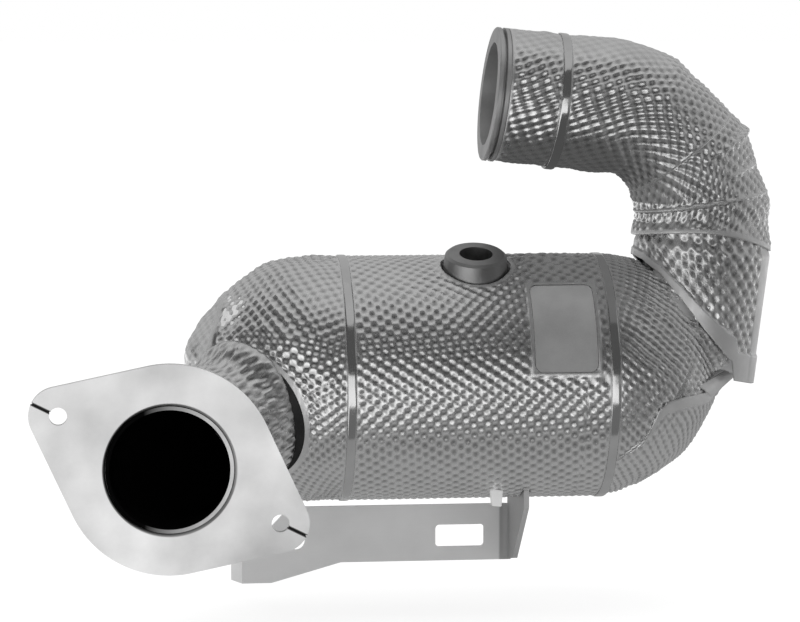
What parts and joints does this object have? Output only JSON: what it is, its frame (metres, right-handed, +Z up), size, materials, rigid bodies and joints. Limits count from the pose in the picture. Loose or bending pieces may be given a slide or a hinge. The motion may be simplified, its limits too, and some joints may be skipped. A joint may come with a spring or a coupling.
{
  "type": "catalytic converter",
  "caption": "Close-coupled exhaust catalyst in embossed foil heat shields, with a clamp-flanged inlet elbow, a sensor boss, a bracket and a two-bolt outlet flange.",
  "frame": {"origin": "centre of the outlet flange's mating face", "axes": "+X along the can towards the inlet end, -Y out of the outlet flange's face, +Z up"},
  "size_m": [0.3691, 0.1517, 0.2827],
  "materials": {
    "ceramic_brick": "matte porous",
    "fibre_mat": "matte fibre",
    "insulation_blanket": "matte fibre",
    "embossed_foil": "embossed, bright",
    "smooth_foil": "smooth, satin",
    "dark_ring": "dark scale",
    "bright_strap": "bright rolled",
    "flange_steel": "satin",
    "bracket_steel": "satin rolled",
    "dark_steel": "machined, heat darkened",
    "pipe_steel": "satin, dark inside"
  },
  "bodies": {
    "root": {"bracket": "bracket_steel", "can_insulation": "insulation_blanket", "can_shell": "pipe_steel", "can_shield": "embossed_foil", "elbow_shield_first": "embossed_foil", "elbow_shield_second": "embossed_foil", "first_catalyst_brick": "ceramic_brick", "first_support_mat": "fibre_mat", "inlet_clamp_flange": "dark_steel", "inlet_hood": "pipe_steel", "inlet_hood_insulation": "insulation_blanket", "inlet_hood_shield_lower": "embossed_foil", "inlet_hood_shield_upper": "embossed_foil", "inlet_pipe": "pipe_steel", "inlet_pipe_insulation": "insulation_blanket", "inlet_run_shield": "embossed_foil", "inlet_run_strap": "bright_strap", "inlet_side_strap": "bright_strap", "inlet_skirt_back": "embossed_foil", "inlet_skirt_front": "embossed_foil", "outlet_dome": "pipe_steel", "outlet_dome_insulation": "insulation_blanket", "outlet_dome_shield": "embossed_foil", "outlet_flange": "flange_steel", "outlet_neck_shield": "embossed_foil", "outlet_pipe": "pipe_steel", "outlet_pipe_insulation": "insulation_blanket", "outlet_shield_ring": "dark_ring", "outlet_side_strap": "bright_strap", "second_catalyst_brick": "ceramic_brick", "second_support_mat": "fibre_mat", "sensor_boss": "dark_steel", "window_plate": "smooth_foil"}
  },
  "joints": []
}
